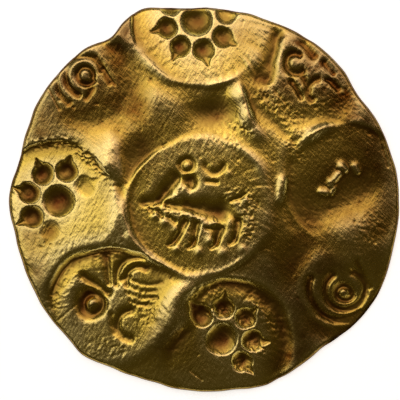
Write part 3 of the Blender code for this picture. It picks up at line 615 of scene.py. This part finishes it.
def wear(x, y):
    # knocks and scratches of long use, seeded so that each run gives the same ones
    dice = np.random.RandomState(coin["fineSeed"])
    z = np.zeros_like(x)
    half = 0.5 * coin["flanDiameter"]
    low, high = coin["pitRadii"]
    for _ in range(coin["pitCount"]):
        place = dice.uniform(-half, half, 2)
        radius = dice.uniform(low, high)
        depth = coin["pitDepth"] * dice.uniform(coin["pitShallowest"], 1.0)
        z = z - depth * np.exp(-((x - place[0]) ** 2 + (y - place[1]) ** 2) / radius ** 2)
    low, high = coin["scratchLengths"]
    for _ in range(coin["scratchCount"]):
        place = dice.uniform(-half, half, 2)
        way = dice.normal(coin["scratchWay"], coin["scratchSpread"])
        length = dice.uniform(low, high)
        end = place + length * np.array([math.cos(way), math.sin(way)])
        halfBreadth = coin["scratchHalfBreadth"]
        z = z - coin["scratchDepth"] * bowl(limb(x, y, place, end, halfBreadth, halfBreadth))
    return z

def fineRelief(x, y):
    struck = drawnStrokes(x, y) + proudRims(x, y) + bosses(x, y)
    return struck + spalls(x, y) + cracks(x, y) + wear(x, y)

def obverse(x, y):
    # the outer punches came first, and the boar's last of all.  Each place is moved a
    # little first, so that no line that the hand cut is quite even
    x, y = x + waver(x, y, "eastward"), y + waver(x, y, "northward")
    z = land(x, y)
    z = press(z, x, y, coin["shellFace"]) - scrollCut(x, y, coin["shellCurls"], coin["shellLimbs"])
    z = press(z, x, y, coin["frondFace"]) - scrollCut(x, y, coin["frondCurls"], coin["frondLimbs"])
    z = press(z, x, y, coin["coilFace"]) - scrollCut(x, y, coin["coilCurls"], coin["coilLimbs"])
    z = press(z, x, y, coin["beastFace"]) - beastCut(x, y)
    z = press(z, x, y, coin["westFace"]) - lotusCut(x, y, coin["westLotus"])
    z = press(z, x, y, coin["knotFace"]) - scrollCut(x, y, coin["knotCurls"], coin["knotLimbs"])
    z = press(z, x, y, coin["southFace"]) - lotusCut(x, y, coin["southLotus"])
    z = press(z, x, y, coin["northFace"]) - lotusCut(x, y, coin["northLotus"])
    z = folded(z, x, y, coin["lateCreases"])
    return press(z, x, y, coin["boarFace"]) - boarCut(x, y)

def reverse(x, y):
    # 0 on the pads, and a shallow hollow between them
    clear = np.full_like(x, coin["flanDiameter"])
    for face in [value for name, value in coin.items() if name.endswith("Face")]:
        share, size = faceShare(x, y, face)
        clear = np.minimum(clear, (share - coin["padShare"]) * size)
    return coin["hollowRise"] * ramp(0.0, coin["padEase"], clear)

def discGrid(cells):
    # a square grid drawn out to a disc: each vertex's share of the radius, and bearing
    line = np.linspace(-1.0, 1.0, cells + 1)
    across, up = np.meshgrid(line, line, indexing="ij")
    wide = np.abs(across) >= np.abs(up)
    big = np.where(wide, across, up)
    small = np.where(wide, up, across)
    eighth = np.divide(small, big, out=np.zeros_like(big), where=big != 0.0) * np.pi / 4.0
    angle = np.where(wide, eighth, np.pi / 2.0 - eighth)
    angle = np.where(big < 0.0, angle + np.pi, angle)
    return np.abs(big), angle

def rimIndices(cells):
    # the grid's outer vertices, in order around the coin
    last = cells
    loop = [(last, j) for j in range(last)]
    loop += [(last - i, last) for i in range(last)]
    loop += [(0, last - j) for j in range(last)]
    loop += [(i, 0) for i in range(last)]
    return [i * (cells + 1) + j for i, j in loop]

def edgeFall(reach, edgeRadius):
    # 0 in from the edge, 1 at it, along a quarter round
    near = np.clip(1.0 - (1.0 - reach) * edgeRadius / coin["edgeRound"], 0.0, 1.0)
    return 1.0 - np.sqrt(1.0 - near ** 2)

def coinSheet(cells, upper):
    # the places and heights of one side's grid
    reach, angle = discGrid(cells)
    edgeRadius = flanRadius(angle)
    x = reach * edgeRadius * np.cos(angle)
    y = reach * edgeRadius * np.sin(angle)
    fall = edgeFall(reach, edgeRadius)
    if upper:
        z = obverse(x, y) + fineRelief(x, y) - coin["edgeDrop"] * fall
        z = np.maximum(z, reverse(x, y) + coin["thinnest"])
    else:
        z = reverse(x, y) + coin["edgeTurnUp"] * fall
    return x, y, z

def softened(field, cells):
    # the grid's heights with everything narrower than this many cells smoothed away.
    # Each pass smooths one way and swaps the two, so that four go over both twice
    kernel = np.ones(2 * cells + 1) / (2 * cells + 1)
    for _ in range(4):
        padded = np.pad(field, ((cells, cells), (0, 0)), mode="edge")
        field = np.apply_along_axis(np.convolve, 0, padded, kernel, "valid").T
    return field

def tarnishAndShadeShare(x, y):
    # brown patches of tarnish and painted shade: patches that overlap deepen each other, and never
    # pass 1
    clean = np.ones_like(x)
    for at, length, breadth, turn, strength in coin["tarnishAndShade"]:
        clean = clean * (1.0 - strength * swell(x, y, at, length, breadth, turn))
    return 1.0 - clean

def finishShares(x, y, top):
    # where the finish changes: each share on the struck side, and on the plain side
    broad = softened(top, coin["recessCells"][0])
    narrow = softened(top, coin["recessCells"][1])
    crest = np.clip((top - narrow) / coin["crestHeight"], 0.0, 1.0)
    inFromRim = 1.0 - discGrid(coin["topCells"])[0]
    inFromRound = 1.0 - np.hypot(x, y) / (0.5 * coin["flanDiameter"])
    # tarnish and painted shade, taken partly off the crests
    tarnishAndShade = tarnishAndShadeShare(x, y) * (1.0 - coin["crestClean"] * crest)
    plain = np.zeros_like(top)
    return {
        # the deeper a place lies below its surroundings, the more soil colour it gets: partly soil,
        # partly painted shade in the hollows
        "recess": (np.clip((broad - top) / coin["recessDepths"][0], 0.0, 1.0), plain),
        "hollow": (np.clip((narrow - top) / coin["recessDepths"][1], 0.0, 1.0), plain),
        # raised places get the bright colour: partly rubbed wear, partly painted highlight
        "rubAndHighlight": (np.clip((top - broad) / coin["rubAndHighlightHeight"], 0.0, 1.0), plain),
        "tarnishAndShade": (tarnishAndShade, plain + coin["backTarnish"]),
        # painted shade along the struck side's rim; grime over the whole plain side
        "edge": (1.0 - ramp(0.0, coin["rimShadeReach"], inFromRim), plain + coin["backGrime"]),
        "struck": (ramp(0.0, coin["grainEase"], inFromRound) + coin["grainLeast"], plain),
    }

def quads(cells, offset, flip):
    # the grid's faces, by the numbers of their corners
    i, j = np.meshgrid(np.arange(cells), np.arange(cells), indexing="ij")
    here = (offset + i * (cells + 1) + j).ravel()
    there = here + cells + 1
    faces = np.column_stack([here, there, there + 1, here + 1])
    return (faces[:, ::-1] if flip else faces).tolist()

def coinMesh():
    cells = coin["topCells"]
    x, y, top = coinSheet(cells, True)
    _, _, back = coinSheet(cells, False)
    points = np.vstack([np.column_stack([x.ravel(), y.ravel(), z.ravel()]) for z in (top, back)])
    # the node's own middle, so that the mesh lies exactly where the solid does
    low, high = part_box("coin")
    for axis in (0, 1):
        middle = 0.5 * (points[:, axis].min() + points[:, axis].max())
        points[:, axis] += 0.5 * (low[axis] + high[axis]) / mm - middle
    faces = quads(cells, 0, False) + quads(cells, top.size, True)
    rim = rimIndices(cells)
    for here, there in zip(rim, rim[1:] + rim[:1]):
        faces.append((here, top.size + here, top.size + there, there))
    mesh = bpy.data.meshes.new("coin struck")
    mesh.from_pydata((points * mm).tolist(), [], faces)
    for name, (upper, lower) in finishShares(x, y, top).items():
        attribute = mesh.attributes.new(name, "FLOAT", "POINT")
        attribute.data.foreach_set("value", np.concatenate([upper.ravel(), lower.ravel()]))
    return mesh, top.size

def thinUnderside(piece, upperCount):
    # the plain underside needs far fewer facets than the struck side
    group = piece.vertex_groups.new(name="underside")
    group.add(list(range(upperCount, len(piece.data.vertices))), 1.0, "REPLACE")
    thinning = piece.modifiers.new("thinning", "DECIMATE")
    thinning.ratio = coin["keptBack"]
    thinning.vertex_group = group.name

# The gold, with painted shade and painted highlights in its colour, and the fine hammered grain on
# its surface

def addNode(tree, kind, settings=None, inputs=None):
    # adds one node, sets its settings, and fills or links its inputs
    node = tree.nodes.new(kind)
    for name, value in (settings or {}).items():
        setattr(node, name, value)
    for key, value in (inputs or {}).items():
        if isinstance(value, bpy.types.NodeSocket):
            tree.links.new(value, node.inputs[key])
        else:
            node.inputs[key].default_value = value
    return node

def linearHex(text):
    # an sRGB colour as the linear one that shaders want
    shares = [int(text[i:i + 2], 16) / 255 for i in (1, 3, 5)]
    return [s / 12.92 if s <= 0.04045 else ((s + 0.055) / 1.055) ** 2.4 for s in shares] + [1.0]

gold = {
    "plain": "#e6c552",
    # bright: the painted highlight colour, laid with rubbed wear on raised places
    "bright": "#fdeaa4",
    # tarnishedAndShaded: the brown of tarnish and of painted shade
    "tarnishedAndShaded": "#7a4c16",
    # soilAndShade: red brown of soil and of painted shade in pits and hollows
    "soilAndShade": "#6b3716",
    # grimeAndRimShade: painted shade on the rim of the struck side, grime on the plain side
    "grimeAndRimShade": "#54330f",
    "roughness": 0.26,
    "grainRoughness": 0.12,     # how much it varies with the grain
    "soilRoughness": 0.12,      # how much soil adds
    "toothDepth": 0.010,        # mm
    # noises: size in mm, detail, how far stretched, turn in degrees.  Real brushing is
    # about 0.03 mm broad, and is drawn coarser so that it shows
    "noises": {
        "grain": (0.085, 2.0, 1.0, 0), "mottle": (0.80, 3.0, 1.0, 0),
        "strokes": (0.12, 1.5, 6.0, 48), "crossStrokes": (0.11, 1.5, 5.0, -30),
    },
    # how deep the tooth of each noise is beside the mottle's
    "tooth": {"grain": 0.5, "strokes": 1.3, "crossStrokes": 0.8},
    # colours laid over the plain gold: where, broken up by which noise, how much of
    # it lies whatever the noise says, strength, colour
    "layers": (
        ("rubAndHighlight", "grain", 0.4, 0.55, "bright"), ("tarnishAndShade", "mottle", 0.45, 1.0, "tarnishedAndShaded"),
        ("recess", "mottle", 0.45, 0.85, "soilAndShade"), ("hollow", "grain", 0.30, 0.35, "soilAndShade"),
        ("edge", "mottle", 0.60, 1.0, "grimeAndRimShade"),
    ),
}

def wornGoldWithPaintedLight():
    # 22 carat gold, cast, struck cold and long buried: a pale shine on the raised crests, partly
    # rubbed wear and partly painted highlight; brown patches of tarnish and painted shade; red
    # brown soil with painted shade in the punch marks; painted shade along the rim
    material = bpy.data.materials.new("struck gold with soil and painted shade in its hollows")
    material.use_nodes = True
    tree = material.node_tree
    shader = tree.nodes["Principled BSDF"]
    place = addNode(tree, "ShaderNodeTexCoord").outputs["Object"]
    noises = {}
    for name, (size, detail, stretch, turn) in gold["noises"].items():
        span = (size * mm, size * stretch * mm, size * mm)
        spot = addNode(tree, "ShaderNodeMapping", {"vector_type": "TEXTURE"},
                       {"Vector": place, "Rotation": (0, 0, math.radians(turn)), "Scale": span})
        pattern = addNode(tree, "ShaderNodeTexNoise", {},
                          {"Vector": spot.outputs[0], "Scale": 1.0, "Detail": detail})
        noises[name] = pattern.outputs[0]
    colour = linearHex(gold["plain"])
    shares = {}
    for name, noise, least, strength, layer in gold["layers"]:
        shares[name] = addNode(tree, "ShaderNodeAttribute", {"attribute_name": name}).outputs["Fac"]
        patchy = addNode(tree, "ShaderNodeMath", {}, {0: noises[noise], 1: least})
        factor = addNode(tree, "ShaderNodeMath", {"operation": "MULTIPLY"},
                         {0: shares[name], 1: patchy.outputs[0]})
        factor = addNode(tree, "ShaderNodeMath", {"operation": "MULTIPLY"},
                         {0: factor.outputs[0], 1: strength})
        colour = addNode(tree, "ShaderNodeMix", {"data_type": "RGBA"},
                         {0: factor.outputs[0], 6: colour, 7: linearHex(gold[layer])}).outputs[2]
    tree.links.new(colour, shader.inputs["Base Color"])
    shader.inputs["Metallic"].default_value = 1.0
    rough = addNode(tree, "ShaderNodeMath", {"operation": "MULTIPLY_ADD"},
                    {0: noises["grain"], 1: gold["grainRoughness"],
                     2: gold["roughness"] - 0.5 * gold["grainRoughness"]})
    rough = addNode(tree, "ShaderNodeMath", {"operation": "MULTIPLY_ADD"},
                    {0: shares["recess"], 1: gold["soilRoughness"], 2: rough.outputs[0]})
    tree.links.new(rough.outputs[0], shader.inputs["Roughness"])
    height = noises["mottle"]
    for name, share in gold["tooth"].items():
        height = addNode(tree, "ShaderNodeMath", {"operation": "MULTIPLY_ADD"},
                         {0: noises[name], 1: share, 2: height}).outputs[0]
    bump = addNode(tree, "ShaderNodeBump", {},
                   {"Strength": 1.0, "Distance": gold["toothDepth"] * mm, "Height": height})
    tree.links.new(bump.outputs[0], shader.inputs["Normal"])
    return material

hammering = {
    "grainSize": 0.34,          # mm, of the dimples left by the hammer and the soil
    "grainDepth": 0.012,        # mm
    "fleckSize": 0.17,          # mm
    "fleckDepth": 0.012,        # mm
    "seed": 3.0,
}

def hammeredTree(material):
    # lays fine dimples and flecks over the struck side, along each point's own normal
    tree = bpy.data.node_groups.new("hammered grain", "GeometryNodeTree")
    face = tree.interface
    face.new_socket("Geometry", in_out="INPUT", socket_type="NodeSocketGeometry")
    for name in hammering:
        face.new_socket(name, in_out="INPUT", socket_type="NodeSocketFloat")
    face.new_socket("Geometry", in_out="OUTPUT", socket_type="NodeSocketGeometry")
    start = addNode(tree, "NodeGroupInput").outputs
    position = addNode(tree, "GeometryNodeInputPosition").outputs[0]
    normal = addNode(tree, "GeometryNodeInputNormal").outputs[0]
    struck = addNode(tree, "GeometryNodeInputNamedAttribute", {"data_type": "FLOAT"},
                     {"Name": "struck"}).outputs["Attribute"]
    total = 0.0
    for size, depth in (("grainSize", "grainDepth"), ("fleckSize", "fleckDepth")):
        finer = addNode(tree, "ShaderNodeMath", {"operation": "DIVIDE"}, {0: 1.0, 1: start[size]})
        field = addNode(tree, "ShaderNodeTexNoise", {"noise_dimensions": "4D"},
                        {"Vector": position, "W": start["seed"], "Scale": finer.outputs[0],
                         "Detail": 1.0})
        height = addNode(tree, "ShaderNodeMath", {"operation": "SUBTRACT"},
                         {0: field.outputs[0], 1: 0.5})
        total = addNode(tree, "ShaderNodeMath", {"operation": "MULTIPLY_ADD"},
                        {0: height.outputs[0], 1: start[depth], 2: total}).outputs[0]
    masked = addNode(tree, "ShaderNodeMath", {"operation": "MULTIPLY"}, {0: total, 1: struck})
    offset = addNode(tree, "ShaderNodeVectorMath", {"operation": "SCALE"},
                     {0: normal, "Scale": masked.outputs[0]})
    moved = addNode(tree, "GeometryNodeSetPosition", {},
                    {"Geometry": start["Geometry"], "Offset": offset.outputs[0]})
    real = addNode(tree, "GeometryNodeRealizeInstances", {}, {0: moved.outputs[0]})
    dressed = addNode(tree, "GeometryNodeSetMaterial", {},
                      {"Geometry": real.outputs[0], "Material": material})
    addNode(tree, "NodeGroupOutput", {}, {0: dressed.outputs[0]})
    return tree

def makeCoin():
    mesh, upperCount = coinMesh()
    print("relief worked out")
    piece = bpy.data.objects.new("struckCoin", mesh)
    bpy.context.scene.collection.objects.link(piece)
    thinUnderside(piece, upperCount)
    material = wornGoldWithPaintedLight()
    tree = hammeredTree(material)
    grain = piece.modifiers.new("hammered grain", "NODES")
    grain.node_group = tree
    for item in tree.interface.items_tree:
        if item.in_out == "INPUT" and item.name in hammering:
            scale = 1.0 if item.name == "seed" else mm
            grain[item.identifier] = hammering[item.name] * scale
    seen = piece.evaluated_get(bpy.context.evaluated_depsgraph_get())
    baked = bpy.data.meshes.new_from_object(seen)
    piece.modifiers.clear()
    piece.vertex_groups.clear()
    piece.data = baked
    baked.shade_smooth()
    print("coin baked with", len(baked.polygons), "faces")
    return piece

struckCoin = makeCoin()
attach(struckCoin, "root")
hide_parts("coin")

# The floor, the light and the camera

studio = {
    "floorReach": 600.0,        # mm, to where the card starts to sweep up
    "sweepHeight": 120.0,       # mm
    "sweepSteps": 12,
    "floorSides": 96,
    "floorColour": "#f6f5f2",
    "floorRoughness": 0.9,
    "floorGlow": 0.8,
    "ambient": 0.042,
    "ambientColour": "#ffe776",
    # softboxes: bearing, height, half their spread in degrees, brightness, colour
    "softboxes": (
        (142, 56, 22, 1.17, "#fbf7ff"), (85, 56, 22, 1.21, "#ffeaf6"),
        (182, 58, 13, 0.48, "#fff8f0"),
        (32, 54, 13, 0.54, "#ffdce2"), (315, 19, 12, 0.42, "#fff6e8"),
    ),
    "softboxDistance": 260.0,   # mm
    "viewWidth": 20.72,         # mm across the picture
    "viewMiddle": (-0.207, -0.026),
    "lens": 120.0,              # mm
    "sensor": 36.0,             # mm across
    "clip": (0.001, 10.0),      # m, the nearest and farthest that the camera sees
}

def makeFloor():
    # a round card that sweeps up into a low wall, so that the horizon is pale too
    sides = studio["floorSides"]
    height = studio["sweepHeight"]
    rings = []
    for step in range(studio["sweepSteps"] + 1):
        rise = math.radians(90.0 * step / studio["sweepSteps"])
        reach = studio["floorReach"] + height * math.sin(rise)
        rings.append((reach, height * (1.0 - math.cos(rise))))
    corners = [(0.0, 0.0, 0.0)]
    for reach, up in rings:
        for side in range(sides):
            way = math.radians(360.0 * side / sides)
            corners.append((reach * math.cos(way) * mm, reach * math.sin(way) * mm, up * mm))
    faces = [(0, 1 + side, 1 + (side + 1) % sides) for side in range(sides)]
    for ring in range(studio["sweepSteps"]):
        for side in range(sides):
            here = 1 + ring * sides
            there = here + sides
            after = (side + 1) % sides
            faces.append((here + side, there + side, there + after, here + after))
    mesh = bpy.data.meshes.new("floor")
    mesh.from_pydata(corners, [], faces)
    material = bpy.data.materials.new("white matt card")
    material.use_nodes = True
    shader = material.node_tree.nodes["Principled BSDF"]
    shader.inputs["Base Color"].default_value = linearHex(studio["floorColour"])
    shader.inputs["Roughness"].default_value = studio["floorRoughness"]
    shader.inputs["Emission Color"].default_value = linearHex(studio["floorColour"])
    shader.inputs["Emission Strength"].default_value = studio["floorGlow"]
    mesh.materials.append(material)
    mesh.shade_smooth()
    floor = bpy.data.objects.new("floor", mesh)
    bpy.context.scene.collection.objects.link(floor)

def makeLights():
    world = bpy.data.worlds.new("dim room")
    world.use_nodes = True
    back = world.node_tree.nodes["Background"]
    back.inputs["Color"].default_value = linearHex(studio["ambientColour"])
    back.inputs["Strength"].default_value = studio["ambient"]
    bpy.context.scene.world = world
    distance = studio["softboxDistance"] * mm
    for bearing, height, spread, brightness, colour in studio["softboxes"]:
        turn = math.radians(bearing)
        tilt = math.radians(height)
        level = math.cos(tilt)
        way = Vector((level * math.cos(turn), level * math.sin(turn), math.sin(tilt)))
        light = bpy.data.lights.new("softbox", "AREA")
        light.shape = "DISK"
        light.size = 2.0 * distance * math.tan(math.radians(spread))
        # the energy at which each part of the disc is this bright, whatever its size
        light.energy = brightness * math.pi * math.pi * (0.5 * light.size) ** 2
        light.color = linearHex(colour)[:3]
        box = bpy.data.objects.new("softbox", light)
        box.location = way * distance
        box.rotation_mode = "QUATERNION"
        box.rotation_quaternion = way.to_track_quat("Z", "Y")
        box.visible_camera = False
        bpy.context.scene.collection.objects.link(box)

def makeCamera():
    camera = bpy.data.cameras.new("camera")
    camera.lens = studio["lens"]
    camera.sensor_width = studio["sensor"]
    camera.clip_start, camera.clip_end = studio["clip"]
    seat = bpy.data.objects.new("camera", camera)
    x, y = studio["viewMiddle"]
    height = studio["viewWidth"] * camera.lens / camera.sensor_width + coin["landThickness"]
    seat.location = (x * mm, y * mm, height * mm)
    bpy.context.scene.collection.objects.link(seat)
    bpy.context.scene.camera = seat

makeFloor()
makeLights()
makeCamera()
bpy.context.scene.view_settings.view_transform = "Standard"
print("studio set")
